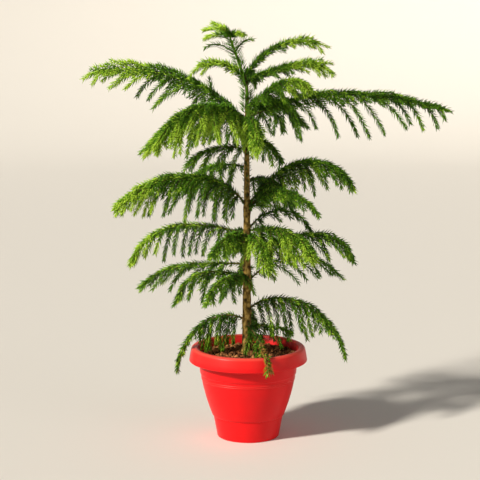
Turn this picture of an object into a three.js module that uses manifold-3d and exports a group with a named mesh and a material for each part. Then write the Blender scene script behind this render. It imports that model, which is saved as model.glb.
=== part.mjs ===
// A young araucaria, the Norfolk Island pine, in a round plastic pot filled with soil.
// The frame: millimetres, +Z up, origin at the centre of the pot's flat underside.
// Headings are degrees counter-clockwise from +X seen from above, so 270 is the front.
import * as THREE from "three";
import { mergeVertices } from "three/addons/utils/BufferGeometryUtils.js";
import Module from "manifold-3d";

const { clamp, degToRad, lerp, seededRandom } = THREE.MathUtils;
const wasm = await Module();
wasm.setup();

// Driving dimensions
const GAP = 0.3; // clearance between neighbouring pieces
const SEED = 41;

const POT_HEIGHT = 194;
const POT_WALL = 3;
const POT_FLOOR = 4;
const POT_SEGMENTS = 28;
const FOOT_RADIUS = 66; // outside, at the underside
const FOOT_EDGE = 2.5; // bevel round the underside
const LOWER_TOP = { radius: 74.2, height: 46 }; // top of the straight lower part
const BOWL_FOOT = { radius: 76.5, height: 47.5 }; // the step where the bowl begins
const BOWL_BULGE = { radius: 95, height: 95 };
const BOWL_TOP = { radius: 100.5, height: 136 };
const COLLAR_STEP = 2.5; // the collar stands this far out of the bowl
const RIM_RADIUS = 125.5;
const RIM_HEIGHT = 29.5;
const RIM_TOP_RADIUS = 121; // outer edge of the rounded top
const MOUTH_RADIUS = 107; // inner edge of the rounded top
const RIM_ROUND = 3;

const SOIL_TOP = 179; // at the trunk
const SOIL_EDGE = 174.5; // at the pot's wall
const SOIL_FLAT_RADIUS = 22; // level patch round the trunk

const TRUNK_TIP = 848;
const TRUNK_OFFSET = -3; // the trunk stands a little left of the pot's centre
const LEAN_START = 736; // the leader leans to the left above this height
const LEAN = -37;
const LEAN_POWER = 1.15;
const TRUNK_RADIUS = 9.4; // above the root flare
const TRUNK_TAPER_POWER = 1.35; // the taper gathers pace towards the tip
const TIP_RADIUS = 1.6;
const FLARE = 4.6; // extra radius at the soil
const FLARE_HEIGHT = 16;
const TRUNK_SIDES = 10;
const TRUNK_STEPS = 14;
const TRUNK_STEP_POWER = 1.25; // the rings crowd towards the root flare

const BOUGH_SIDES = 5;
const BOUGH_STEPS = 3;
const BOUGH_RADIUS_SHARE = 0.0095; // radius at the trunk over the frond's length
const BOUGH_RADIUS = { least: 1.9, most: 3.7 };
const STEM_TIP_RADIUS = 0.7;
const LIMB_TAPER_POWER = 0.8;
const PATH_STEPS = 24;

const BLADE_HALF_WIDTH = 9.5; // reach of the needles to each side of a branchlet
const BLADE_NOTCH = 0.48; // width left between two teeth, as a share
const BLADE_THICKNESS = 1.5;
const BLADE_TAPER = 0.6; // share of its width and thickness that a blade loses by its tip
const TOOTH_SWEEP = 0.78; // the teeth point forwards
const LONG_BLADE = 92; // a branchlet longer than this has four teeth to a side
const SHORT_BLADE = 42; // one shorter than this has two
const NARROWEST_BLADE = 0.6; // share of the full width that the shortest blade keeps
const BLADE_SPACING = 39; // along each side of a frond
const BLADE_CLEARANCE = 0.6; // to every other piece
const SPREAD = [40, 26]; // angle between branchlet and stem, at the frond's foot and at its tip
const HANG = [-72, -56]; // tilt that a branchlet bends down to, at the frond's foot and at its tip
const DROP = 0.75; // share of the way from the stem's tilt to its hang where a branchlet starts
const HANG_BEND = 0.95;
const YOUNG_TILT = { rise: 16, droop: -20 }; // a young branchlet lies this close along its stem
const FROND_OUTLINE = { start: 0.22, run: 0.72, power: 0.8 }; // branchlet lengths, as part of a sine wave
const RANK_START = { right: 0.75, left: 0.3 }; // where each rank begins, in spacings
const LAST_BLADE = 0.96; // share of the stem where the branchlets end
const HEADING_PLAY = 8;
const LENGTH_PLAY = { least: 0.9, most: 1.1 };
const BLADE_ROLL = 45; // a branchlet is turned by this much, away from its side of the frond
const FRONT = { from: 230, to: 310 }; // fronds with such headings turn theirs the other way
const TWIST = 22; // and rolls on by up to this much
const SHORTEST_BLADE = 14;
const STEM_ROLL = degToRad(48);
const STEM = { halfWidth: 9, thickness: 3.6, roll: STEM_ROLL, tooth: 38 };
const YOUNG_STEM = { halfWidth: 11.5, thickness: 4, roll: STEM_ROLL, tooth: 26 };
const YOUNG = ["tier6", "tier7"]; // shoots of the last two years

// Length of the longest branchlets, by whorl from the lowest.
const TWIGS = { tier1: 90, tier2: 80, tier3: 88, tier4: 106, tier5: 118, tier6: 46, tier7: 20 };

const FULL_FROND = 240; // a shorter frond has shorter branchlets
const SHORT_FROND_SHARE = 0.6; // but no shorter than this share
const FEWEST_BLADES = 3; // on each side of a frond

// Each frond leaves the trunk at `height`, tilted up by `rise` degrees, and bends over to
// `droop` at its tip. A bend below 1 bends early. `bare` is the share that is an open bough.
// A frond without it is leafy from the trunk. Its longest branchlets (`twig`), their `spread`,
// `hang` and `drop`, how open they stand, and the share of the frond where they end (`last`) may
// differ from the plant's usual values. A young frond with a `hang` branches like the older ones.
const FRONDS = {
  tier1_right: {
    height: 268, heading: 352, length: 286, rise: 60, droop: -80, bend: 0.67, bare: 0.14,
    twig: 84, spread: [36, 24], hang: [-89, -74], openness: 0.9, last: 0.68,
  },
  tier1_left: {
    height: 248, heading: 188, length: 221, rise: 49, droop: -87, bend: 0.63, bare: 0.14,
    twig: 74, spread: [36, 18], hang: [-89, -84], openness: 1.6, last: 0.5,
  },
  tier1_front: {
    height: 243, heading: 287, length: 172, rise: -10, droop: -71, bend: 2.7,
    twig: 52, openness: 1.2,
  },
  tier1_front_right: {
    height: 239, heading: 334, length: 105, rise: 4, droop: -37, bend: 3.4,
    twig: 50,
  },
  tier1_back: { height: 250, heading: 85, length: 175, rise: 18, droop: -50, bend: 1, twig: 54 },

  tier2_left: {
    height: 371, heading: 178, length: 238, rise: 1, droop: -52, bend: 2.8, bare: 0.2,
    twig: 80, spread: [34, 20], hang: [-44, -46], drop: 0.5, openness: 1.2,
  },
  tier2_front_left: {
    height: 348, heading: 222, length: 217, rise: 12, droop: -86, bend: 3.2, bare: 0.16,
    twig: 66, hang: [-66, -66], drop: 0.5, openness: 1.2,
  },
  tier2_front: {
    height: 346, heading: 247, length: 220, rise: 7, droop: -58, bend: 3.4,
    twig: 60, hang: [-62, -62], drop: 0.5, openness: 1.2,
  },
  tier2_right: {
    height: 330, heading: 5, length: 227, rise: 48, droop: -55, bend: 1.3, bare: 0.2,
    twig: 78, spread: [32, 20], hang: [-62, -44], drop: 0.5, openness: 1.6,
  },
  tier2_back: {
    height: 343, heading: 92, length: 245, rise: 18, droop: -46, bend: 1, bare: 0.16,
    twig: 54,
  },

  tier3_left: {
    height: 435, heading: 183, length: 282, rise: 14, droop: -80, bend: 2.2, bare: 0.16,
    twig: 72, spread: [34, 20], hang: [-89, -70], openness: 1.1,
  },
  tier3_front_right: {
    height: 441, heading: 318, length: 193, rise: 15, droop: -44, bend: 1.4, bare: 0.16,
    twig: 92, openness: 0.9,
  },
  tier3_front: {
    height: 425, heading: 290, length: 152, rise: 24, droop: -64, bend: 1,
    twig: 62, openness: 0.9,
  },
  tier3_front_left: {
    height: 428, heading: 238, length: 145, rise: 24, droop: -42, bend: 1,
    twig: 58,
  },
  tier3_right: {
    height: 403, heading: 3, length: 253, rise: 16, droop: -86, bend: 3.2, bare: 0.2,
    twig: 76, spread: [30, 20], hang: [-62, -64], drop: 0.6, openness: 1.1,
  },
  tier3_upper_right: {
    height: 438, heading: 12, length: 174, rise: 59, droop: -73, bend: 1.2, bare: 0.2,
    twig: 44, hang: [-40, -50], drop: 0.5, openness: 2.0,
  },
  tier3_back: {
    height: 420, heading: 98, length: 255, rise: 16, droop: -46, bend: 1, bare: 0.16,
    twig: 64,
  },

  tier4_left: {
    height: 488, heading: 184, length: 322, rise: 75, droop: -45, bend: 0.62, bare: 0.14,
    twig: 92, spread: [36, 22], hang: [-89, -58], openness: 0.75,
  },
  tier4_right: {
    height: 492, heading: 355, length: 282, rise: 54, droop: -73, bend: 1.8, bare: 0.14,
    twig: 82, spread: [30, 20], hang: [-80, -76], openness: 0.9,
  },
  tier4_front_right: {
    height: 479, heading: 322, length: 218, rise: 67, droop: -51, bend: 0.83,
    twig: 60, spread: [22, 14], hang: [-20, -50], drop: 0.5, openness: 1.6,
  },
  tier4_back_left: {
    height: 574, heading: 130, length: 235, rise: 6, droop: -42, bend: 1.2, bare: 0.16,
    twig: 70,
  },
  tier4_back_right: {
    height: 546, heading: 62, length: 245, rise: 6, droop: -44, bend: 1, bare: 0.16,
    twig: 70,
  },

  tier5_right: {
    height: 674, heading: 353, length: 432, rise: 46, droop: -17, bend: 0.46, bare: 0.1,
    twig: 112, spread: [28, 18], hang: [-72, -56], openness: 2.0,
  },
  tier5_left: {
    height: 666, heading: 173, length: 366, rise: 47, droop: -15, bend: 1.05, bare: 0.1,
    twig: 112, spread: [32, 20], hang: [-60, -44], drop: 0.45, openness: 1.4,
  },
  tier5_front_left: {
    height: 675, heading: 222, length: 276, rise: 27, droop: -60, bend: 1.35, bare: 0.12,
    twig: 124, spread: [26, 16], hang: [-62, -56], drop: 0.5, openness: 0.6,
  },
  tier5_front: {
    height: 660, heading: 279, length: 172, rise: 36, droop: -66, bend: 1,
    twig: 70, openness: 0.9,
  },
  tier5_front_right: {
    height: 634, heading: 306, length: 130, rise: 8, droop: -48, bend: 1.2,
    twig: 54, drop: 0.5,
  },
  tier5_lower_left: {
    height: 612, heading: 196, length: 140, rise: 14, droop: -50, bend: 1.4,
    twig: 54, drop: 0.5,
  },
  tier5_back_right: {
    height: 680, heading: 60, length: 270, rise: 30, droop: -46, bend: 1, bare: 0.14,
    twig: 84,
  },
  tier5_back_left: {
    height: 664, heading: 120, length: 255, rise: 26, droop: -48, bend: 1,
    twig: 84,
  },

  tier6_right: { height: 757, heading: 5, length: 206, rise: 59, droop: -28, bend: 1.25 },
  tier6_lower_right: {
    height: 754, heading: 345, length: 195, rise: 18, droop: -46, bend: 3.9,
    twig: 62,
  },
  tier6_front_right: {
    height: 698, heading: 318, length: 192, rise: 34, droop: -50, bend: 3,
    twig: 60, spread: [40, 26], hang: [-36, -66], drop: 0.4,
  },
  tier6_left: { height: 763, heading: 188, length: 107, rise: 37, droop: -43, bend: 1.75 },
  tier6_back: { height: 744, heading: 84, length: 160, rise: 34, droop: -36, bend: 1 },

  tier7_left: { height: 809, heading: 186, length: 70, rise: 36, droop: -44, bend: 2.1 },
  tier7_right: { height: 813, heading: 5, length: 48, rise: 58, droop: -21, bend: 2.2 },
};

// The tuft of young shoots that closes the leader.
const TUFT_STEM = { length: 11, radius: 1.4, rooting: 0.8, sides: 3 };
const TUFT_TEETH = 3;
const TUFT_SHOOTS = [
  { heading: 172, length: 60, rise: 52, droop: -24 },
  { heading: 190, length: 46, rise: 66, droop: 10 },
  { heading: 200, length: 56, rise: 22, droop: -30 },
  { heading: 238, length: 44, rise: 56, droop: -6 },
  { heading: 118, length: 44, rise: 54, droop: -6 },
  { heading: 318, length: 36, rise: 40, droop: -30 },
  { heading: 38, length: 40, rise: 40, droop: -30 },
];

const MATERIALS = {
  pot: new THREE.MeshStandardMaterial({ color: 0xd8161f, roughness: 0.45, metalness: 0 }),
  soil: new THREE.MeshStandardMaterial({ color: 0x5b3a22, roughness: 0.95, metalness: 0 }),
  bark: new THREE.MeshStandardMaterial({ color: 0x6b5238, roughness: 0.9, metalness: 0 }),
  bough: new THREE.MeshStandardMaterial({ color: 0x56592c, roughness: 0.85, metalness: 0 }),
  foliage: new THREE.MeshStandardMaterial({ color: 0x2f6b1e, roughness: 0.6, metalness: 0 }),
};

const UP = new THREE.Vector3(0, 0, 1);

// Solids and meshes

function solidOf(geometry) {
  const bare = geometry.clone();
  bare.deleteAttribute("normal");
  bare.deleteAttribute("uv");
  const merged = mergeVertices(bare, 1e-4);
  return new wasm.Manifold(
    new wasm.Mesh({
      numProp: 3,
      vertProperties: merged.attributes.position.array,
      triVerts: new Uint32Array(merged.index.array),
    }),
  );
}

function geometryOf(solid) {
  const mesh = solid.getMesh();
  const geometry = new THREE.BufferGeometry();
  geometry.setAttribute("position", new THREE.BufferAttribute(mesh.vertProperties, 3));
  geometry.setIndex(new THREE.BufferAttribute(mesh.triVerts, 1));
  geometry.computeVertexNormals();
  return geometry;
}

// Triangles given as corner points.
function geometryOfTriangles(triangles) {
  const corners = triangles.flat().flatMap((p) => [p.x, p.y, p.z]);
  const geometry = new THREE.BufferGeometry();
  geometry.setAttribute("position", new THREE.Float32BufferAttribute(corners, 3));
  return mergeVertices(geometry, 1e-4);
}

// A closed skin over rings of points that run counter-clockwise seen from the last ring.
function skin(rings) {
  const triangles = [];
  const sides = rings[0].length;
  for (let r = 0; r + 1 < rings.length; r++) {
    for (let i = 0; i < sides; i++) {
      const j = (i + 1) % sides;
      triangles.push([rings[r][i], rings[r][j], rings[r + 1][j]]);
      triangles.push([rings[r][i], rings[r + 1][j], rings[r + 1][i]]);
    }
  }
  const [first, last] = [rings[0], rings.at(-1)];
  for (let i = 1; i + 1 < sides; i++) {
    triangles.push([first[0], first[i + 1], first[i]]);
    triangles.push([last[0], last[i], last[i + 1]]);
  }
  return geometryOfTriangles(triangles);
}

// The pot and its soil

function potGeometry() {
  const bowl = new THREE.QuadraticBezierCurve(
    new THREE.Vector2(BOWL_FOOT.radius, BOWL_FOOT.height),
    new THREE.Vector2(BOWL_BULGE.radius, BOWL_BULGE.height),
    new THREE.Vector2(BOWL_TOP.radius, BOWL_TOP.height),
  ).getPoints(3);
  const rimFoot = POT_HEIGHT - RIM_HEIGHT;
  const collar = BOWL_TOP.radius + COLLAR_STEP;
  const channelTop = POT_HEIGHT - POT_WALL;
  const outside = [
    [0, 0],
    [FOOT_RADIUS - FOOT_EDGE, 0],
    [FOOT_RADIUS, FOOT_EDGE],
    [LOWER_TOP.radius, LOWER_TOP.height],
    ...bowl.map((p) => [p.x, p.y]),
    [collar, BOWL_TOP.height + COLLAR_STEP],
    [collar + 1.5, rimFoot],
    [collar + 3, channelTop],
  ];
  const rim = [
    [RIM_TOP_RADIUS - RIM_ROUND, channelTop],
    [RIM_RADIUS - POT_WALL, rimFoot],
    [RIM_RADIUS - 1, rimFoot],
    [RIM_RADIUS, rimFoot + RIM_ROUND],
    [RIM_TOP_RADIUS, POT_HEIGHT - RIM_ROUND],
    [RIM_TOP_RADIUS - RIM_ROUND, POT_HEIGHT],
    [MOUTH_RADIUS + RIM_ROUND, POT_HEIGHT],
    [MOUTH_RADIUS, POT_HEIGHT - RIM_ROUND],
  ];
  const inside = insideWall().map((p) => [p.x, p.y]);
  const profile = [...outside, ...rim, ...inside, [0, POT_FLOOR]];
  return lathe(profile);
}

// The pot's inner face from the mouth down to the floor, as points of radius and height.
function insideWall() {
  return [
    new THREE.Vector2(BOWL_TOP.radius + COLLAR_STEP + 1.5 - POT_WALL, POT_HEIGHT - RIM_HEIGHT),
    new THREE.Vector2(BOWL_TOP.radius - POT_WALL, BOWL_TOP.height),
    new THREE.Vector2(BOWL_BULGE.radius - 2 * POT_WALL, BOWL_BULGE.height),
    new THREE.Vector2(LOWER_TOP.radius - POT_WALL, LOWER_TOP.height),
    new THREE.Vector2(FOOT_RADIUS - POT_WALL, POT_FLOOR),
  ];
}

function lathe(profile) {
  const points = profile.map(([radius, height]) => new THREE.Vector2(radius, height));
  return new THREE.LatheGeometry(points, POT_SEGMENTS).rotateX(Math.PI / 2);
}

function soilGeometry() {
  const wall = insideWall().reverse();
  const mouth = new THREE.Vector2(MOUTH_RADIUS, POT_HEIGHT - RIM_ROUND);
  const top = wall.at(-1).clone().lerp(mouth, (SOIL_EDGE - wall.at(-1).y) / (mouth.y - wall.at(-1).y));
  const sides = [...wall, top].map((p) => [p.x - GAP, p.y]);
  sides[0][1] += GAP;
  const middle = (SOIL_FLAT_RADIUS + top.x) / 2;
  const surface = [
    [middle, lerp(SOIL_EDGE, SOIL_TOP, 0.7)],
    [SOIL_FLAT_RADIUS, SOIL_TOP],
    [0, SOIL_TOP],
  ];
  return lathe([[0, POT_FLOOR + GAP], ...sides, ...surface]);
}

// The trunk

function trunkCentre(height) {
  const lean = clamp((height - LEAN_START) / (TRUNK_TIP - LEAN_START), 0, 1);
  return new THREE.Vector3(TRUNK_OFFSET + LEAN * lean ** LEAN_POWER, 0, height);
}

function trunkRadius(height) {
  const above = (height - SOIL_TOP) / (TRUNK_TIP - SOIL_TOP);
  const taper = lerp(TRUNK_RADIUS, TIP_RADIUS, Math.max(above, 0) ** TRUNK_TAPER_POWER);
  return taper + FLARE * Math.exp((SOIL_TOP - height) / FLARE_HEIGHT);
}

// `extra` makes the trunk that much fatter, to cut its neighbours clear of it.
function trunkGeometry(extra = 0) {
  const foot = SOIL_TOP + GAP - extra;
  const tip = TRUNK_TIP + extra;
  const rings = [];
  for (let k = 0; k <= TRUNK_STEPS; k++) {
    const height = lerp(foot, tip, (k / TRUNK_STEPS) ** TRUNK_STEP_POWER);
    const centre = trunkCentre(height);
    const ring = [];
    for (let i = 0; i < TRUNK_SIDES; i++) {
      const turn = (2 * Math.PI * i) / TRUNK_SIDES;
      const radius = trunkRadius(height) + extra;
      const offset = new THREE.Vector3(Math.cos(turn) * radius, Math.sin(turn) * radius, 0);
      ring.push(offset.add(centre));
    }
    rings.push(ring);
  }
  return skin(rings);
}

// The trunk's own space, which boughs and stems are cut clear of.
const trunkSpace = solidOf(trunkGeometry(GAP));

// Boughs, stems and branchlets

function limbCurve({ origin, heading, rise, droop, bend = 1, length }) {
  const points = [origin.clone()];
  for (let k = 0; k < PATH_STEPS; k++) {
    const tilt = degToRad(lerp(rise, droop, ((k + 0.5) / PATH_STEPS) ** bend));
    const turn = degToRad(heading);
    const step = new THREE.Vector3(
      Math.cos(turn) * Math.cos(tilt),
      Math.sin(turn) * Math.cos(tilt),
      Math.sin(tilt),
    );
    points.push(points.at(-1).clone().addScaledVector(step, length / PATH_STEPS));
  }
  return new THREE.CatmullRomCurve3(points);
}

// The rest of a curve from a share of its length on.
function endOf(curve, from) {
  const places = Array.from({ length: PATH_STEPS + 1 }, (_, k) => lerp(from, 1, k / PATH_STEPS));
  return new THREE.CatmullRomCurve3(places.map((share) => curve.getPointAt(share)));
}

// The step beside a curve: `wide` to its right and `high` above it, the pair turned by `roll`.
function beside(curve, share, wide, high, roll = 0) {
  const tangent = curve.getTangentAt(share);
  const across = new THREE.Vector3().crossVectors(tangent, UP).normalize();
  across.applyAxisAngle(tangent, roll);
  const over = new THREE.Vector3().crossVectors(across, tangent);
  return across.multiplyScalar(wide).addScaledVector(over, high);
}

function limbGeometry(curve, from, to, radiusAt, sides, steps) {
  const rings = [];
  for (let k = 0; k <= steps; k++) {
    const share = lerp(from, to, k / steps);
    const radius = radiusAt(share);
    const ring = [];
    for (let i = 0; i < sides; i++) {
      const turn = Math.PI / 2 - (2 * Math.PI * i) / sides;
      const step = beside(curve, share, Math.cos(turn) * radius, Math.sin(turn) * radius);
      ring.push(step.add(curve.getPointAt(share)));
    }
    rings.push(ring);
  }
  return skin(rings);
}

// The middle of a limb that follows a curve in straight steps.
function limbMiddle(curve, from, to, steps, share) {
  const place = ((share - from) / (to - from)) * steps;
  const ring = Math.min(Math.floor(place), steps - 1);
  const start = curve.getPointAt(lerp(from, to, ring / steps));
  return start.lerp(curve.getPointAt(lerp(from, to, (ring + 1) / steps)), place - ring);
}

// A spray of needles: a thin blade along a drooping curve, ridged on top, with teeth that
// sweep forwards from its edges. It starts in a point, to be sunk into a stem.
function bladeGeometry(curve, { halfWidth, thickness, teeth, roll = 0 }) {
  const middleAt = (share) => limbMiddle(curve, 0, 1, teeth, share);
  const at = (share, wide, high) => beside(curve, share, wide, high, roll).add(middleAt(share));
  const widthAt = (share) => halfWidth * (1 - BLADE_TAPER * share ** 2);
  const [root, tip] = [curve.getPointAt(0), curve.getPointAt(1)];
  const triangles = [];
  let [left, right, ridge] = [root, root, root];
  for (let k = 0; k < teeth; k++) {
    const point = (k + TOOTH_SWEEP) / teeth;
    const end = (k + 1) / teeth;
    const isLast = k === teeth - 1;
    const notch = widthAt(end) * BLADE_NOTCH;
    const leftTooth = at(point, -widthAt(point), 0);
    const rightTooth = at(point, widthAt(point), 0);
    const nextLeft = isLast ? tip : at(end, -notch, 0);
    const nextRight = isLast ? tip : at(end, notch, 0);
    const nextRidge = isLast ? tip : at(end, 0, ridgeAt(end, thickness));
    const topLeft = [
      [ridge, leftTooth, left],
      [ridge, nextRidge, leftTooth],
      [nextRidge, nextLeft, leftTooth],
    ];
    const topRight = [
      [ridge, right, rightTooth],
      [ridge, rightTooth, nextRidge],
      [nextRidge, rightTooth, nextRight],
    ];
    const under = [
      [left, leftTooth, rightTooth],
      [left, rightTooth, right],
      [leftTooth, nextLeft, nextRight],
      [leftTooth, nextRight, rightTooth],
    ];
    triangles.push(...topLeft, ...topRight, ...under);
    [left, right, ridge] = [nextLeft, nextRight, nextRidge];
  }
  return geometryOfTriangles(triangles.filter(([a, b, c]) => a !== b && b !== c && c !== a));
}

function ridgeAt(share, thickness) {
  return thickness * (1 - BLADE_TAPER * share);
}

function sprayShape(length) {
  const teeth = length > LONG_BLADE ? 4 : length > SHORT_BLADE ? 3 : 2;
  const halfWidth = BLADE_HALF_WIDTH * clamp(length / LONG_BLADE, NARROWEST_BLADE, 1);
  return { halfWidth, teeth, thickness: BLADE_THICKNESS };
}

// What is already in place, so that each mass keeps to its own space.
const placed = [];

function place(owner, solid) {
  placed.push({ owner, solid, box: solid.boundingBox() });
}

function boxesNear(a, b) {
  const nearOn = (i) => Math.max(a.min[i] - b.max[i], b.min[i] - a.max[i]) < BLADE_CLEARANCE;
  return [0, 1, 2].every(nearOn);
}

function isClear(owner, solid) {
  const box = solid.boundingBox();
  return placed.every(
    (other) =>
      other.owner === owner ||
      !boxesNear(box, other.box) ||
      solid.minGap(other.solid, BLADE_CLEARANCE) >= BLADE_CLEARANCE,
  );
}

const part = new THREE.Group();

function addMesh(name, geometry, material) {
  const mesh = new THREE.Mesh(geometry, material);
  mesh.name = name;
  part.add(mesh);
}

function addPotAndSoil() {
  const pieces = { pot: potGeometry(), soil: soilGeometry() };
  for (const [name, geometry] of Object.entries(pieces)) {
    place(name, solidOf(geometry));
    addMesh(name, geometry, MATERIALS[name]);
  }
}

function addTrunk() {
  const geometry = trunkGeometry();
  place("trunk", solidOf(geometry));
  addMesh("trunk", geometry, MATERIALS.bark);
}

// A frond's bough and the stem of its foliage run along one curve from inside the trunk, cut
// clear of it, with a gap between them where the bough enters the foliage. The stem bears
// needles, so it is a toothed blade itself.
function startFrond([name, frond]) {
  const { height, length, bare = 0 } = frond;
  const origin = trunkCentre(height);
  const curve = limbCurve({ ...frond, origin });
  const footRadius = clamp(length * BOUGH_RADIUS_SHARE, BOUGH_RADIUS.least, BOUGH_RADIUS.most);
  const radiusAt = (share) => lerp(footRadius, STEM_TIP_RADIUS, share ** LIMB_TAPER_POWER);
  if (bare) {
    const limb = limbGeometry(curve, 0, bare, radiusAt, BOUGH_SIDES, BOUGH_STEPS);
    const bough = solidOf(limb).subtract(trunkSpace);
    place(`bough_${name}`, bough);
    addMesh(`bough_${name}`, geometryOf(bough), MATERIALS.bough);
  }
  const from = bare ? bare + GAP / length : 0;
  const tier = name.slice(0, 5);
  const isYoung = YOUNG.includes(tier) && !frond.hang;
  const shape = isYoung ? YOUNG_STEM : STEM;
  const leafy = endOf(curve, from);
  const teeth = Math.round(leafy.getLength() / shape.tooth);
  const stem = solidOf(bladeGeometry(leafy, { ...shape, teeth })).subtract(trunkSpace);
  const middleAt = (share) => {
    const point = Math.min(share * teeth, (1 - share) * teeth, 1); // the stem's ends are pointed
    const depth = (point * ridgeAt(share, shape.thickness)) / 3;
    return beside(leafy, share, 0, depth, shape.roll).add(limbMiddle(leafy, 0, 1, teeth, share));
  };
  place(`foliage_${name}`, stem);
  const share = isYoung ? 1 : clamp(length / FULL_FROND, SHORT_FROND_SHARE, 1);
  const twig = frond.twig ?? TWIGS[tier] * share;
  return { ...frond, name: `foliage_${name}`, twig, leafy, from, stem, middleAt, isYoung };
}

// The branchlets stand in two ranks along the stem, longest before the middle.
function leafFrond(frond) {
  const { name, twig, heading, leafy, from, stem, middleAt, isYoung } = frond;
  const { spread = SPREAD, hang = HANG, drop = DROP, openness = 1, last = LAST_BLADE } = frond;
  const pieces = [stem];
  const facing = heading > FRONT.from && heading < FRONT.to ? BLADE_ROLL : -BLADE_ROLL;
  const end = (last - from) / (1 - from);
  const room = Math.round(leafy.getLength() / (BLADE_SPACING * openness));
  const count = Math.max(FEWEST_BLADES, room);
  for (let k = 0; k < count; k++) {
    for (const side of [-1, 1]) {
      const along = (k + (side > 0 ? RANK_START.left : RANK_START.right)) / count;
      const share = end * along;
      const tangent = leafy.getTangentAt(share);
      const tilt = THREE.MathUtils.radToDeg(Math.asin(tangent.z));
      const wave = Math.PI * (FROND_OUTLINE.start + FROND_OUTLINE.run * along);
      const outline = Math.sin(wave) ** FROND_OUTLINE.power;
      const droop = isYoung ? tilt + YOUNG_TILT.droop : lerp(...hang, along);
      const rise = isYoung ? tilt + YOUNG_TILT.rise : lerp(tilt, droop, drop);
      const turn = HEADING_PLAY * (seededRandom() - 0.5);
      const growth = lerp(LENGTH_PLAY.least, LENGTH_PLAY.most, seededRandom());
      const blade = {
        origin: middleAt(share),
        heading: heading + side * lerp(...spread, along) + turn,
        rise,
        droop,
        bend: HANG_BEND,
        length: Math.max(twig * outline * growth, SHORTEST_BLADE),
      };
      const roll = degToRad(TWIST * (2 * seededRandom() - 1) + side * facing);
      const solid = solidOf(bladeGeometry(limbCurve(blade), { ...sprayShape(blade.length), roll }));
      if (isClear(name, solid)) pieces.push(solid);
    }
  }
  addFoliage(name, pieces);
}

function addFoliage(name, pieces) {
  const fused = wasm.Manifold.union(pieces);
  place(name, fused);
  addMesh(name, geometryOf(fused), MATERIALS.foliage);
}

// The tuft's stem carries the leaning line of the trunk on, cut clear of the trunk's tip.
function addTuft() {
  const below = trunkCentre(TRUNK_TIP - TUFT_STEM.length);
  const tip = trunkCentre(TRUNK_TIP);
  const end = tip.clone().add(tip).sub(below);
  const curve = new THREE.LineCurve3(below, end);
  const limb = limbGeometry(curve, 0, 1, () => TUFT_STEM.radius, TUFT_STEM.sides, 1);
  const stem = solidOf(limb).subtract(trunkSpace);
  const pieces = [stem];
  for (const shoot of TUFT_SHOOTS) {
    const path = limbCurve({ ...shoot, origin: curve.getPointAt(TUFT_STEM.rooting) });
    pieces.push(solidOf(bladeGeometry(path, { ...YOUNG_STEM, teeth: TUFT_TEETH })));
  }
  addFoliage("foliage_leader_tuft", pieces);
}

seededRandom(SEED);
addPotAndSoil();
addTrunk();
addTuft();
Object.entries(FRONDS).map(startFrond).forEach(leafFrond);

export default part;
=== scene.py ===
import math

import bmesh
import bpy
import numpy as np
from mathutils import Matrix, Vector, noise


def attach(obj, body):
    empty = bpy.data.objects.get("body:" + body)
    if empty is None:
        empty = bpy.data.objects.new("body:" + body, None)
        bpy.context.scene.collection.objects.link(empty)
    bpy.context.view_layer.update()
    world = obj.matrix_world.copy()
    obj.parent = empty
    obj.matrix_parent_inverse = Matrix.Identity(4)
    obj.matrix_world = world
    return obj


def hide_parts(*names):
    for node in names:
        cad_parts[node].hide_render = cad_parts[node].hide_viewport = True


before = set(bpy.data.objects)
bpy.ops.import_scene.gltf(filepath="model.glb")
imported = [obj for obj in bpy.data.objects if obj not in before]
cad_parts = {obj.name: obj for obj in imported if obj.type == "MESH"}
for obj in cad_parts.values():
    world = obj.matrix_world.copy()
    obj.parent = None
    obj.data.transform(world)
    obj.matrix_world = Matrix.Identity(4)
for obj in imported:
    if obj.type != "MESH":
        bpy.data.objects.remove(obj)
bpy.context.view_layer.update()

# The pot is injection moulded in one piece from red plastic: a straight foot, a bowl that swells up to a
# collar, and a rim turned down outside with an open channel behind it. Its steps, rings and rounded edges
# are turned in the mould, and it stands on a ring under its foot.
MM = 0.001
POT_SEGMENTS = 144
FOOT_RING = [(49, 1.6), (51, 1.4), (52.5, 0)]
FOOT_EDGE = dict(centre=(63.5, 2.5), radius=2.5, start=-90, end=-12, steps=5)
FOOT_WALL = [(72.6, 38), (73.7, 44), (73.6, 46.4)]
FOOT_STEP = [(74.5, 46.5), (75.6, 46.8), (76.3, 47.3)]
BOWL_FOOT = (76.8, 47.8)
BOWL_BULGE = (95, 95)
BOWL_TOP = (100.5, 136)
BOWL_RINGS = [129.2, 125.4]
RING_HEIGHT = 0.8
RING_WIDTH = 0.9
PLAIN_BOWL = np.linspace(0, 0.8, 18)
RINGED_BOWL = np.linspace(0.81, 1, 40)
COLLAR = [(101.1, 136.5), (101.8, 137.2), (102.2, 138.4), (102.5, 141), (104.5, 164.5)]
CHANNEL = [(105.6, 187), (107.5, 190), (116.5, 190), (118.4, 187)]
RIM_LIP = dict(centre=(123.7, 166.0), radius=1.5, start=180, end=368, steps=8)
RIM_WALL = [(123.6, 176)]
RIM_SHOULDER = dict(centre=(114.6, 187.4), radius=6.6, start=12, end=90, steps=9)
RIM_INSIDE = dict(centre=(111.6, 189.4), radius=4.6, start=90, end=172, steps=7)
POT_INSIDE = [(101.5, 164.5), (97.5, 136), (89, 95), (71.2, 46), (63, 4)]
POT_RED = (0.74, 0.006, 0.008, 1)
POT_RED_WORN = (0.66, 0.008, 0.010, 1)
# A paler red is painted on up-facing surfaces, over these slopes of the normal: a painted highlight that
# stands in for the sky's reflection.
POT_RED_PAINTED_HIGHLIGHT = (0.78, 0.075, 0.055, 1)
PAINTED_HIGHLIGHT_SLOPES = (0.1, 0.8)
HANDLING_SCALE = 14
POT_SMOOTH = (0.34, 0.34, 0.34, 1)
POT_SCUFFED = (0.42, 0.42, 0.42, 1)
POT_SHINE = 0.18
GRAIN_SCALE = 1400
GRAIN_DEPTH = 0.2
POT_SHARP_EDGE = 40


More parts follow.
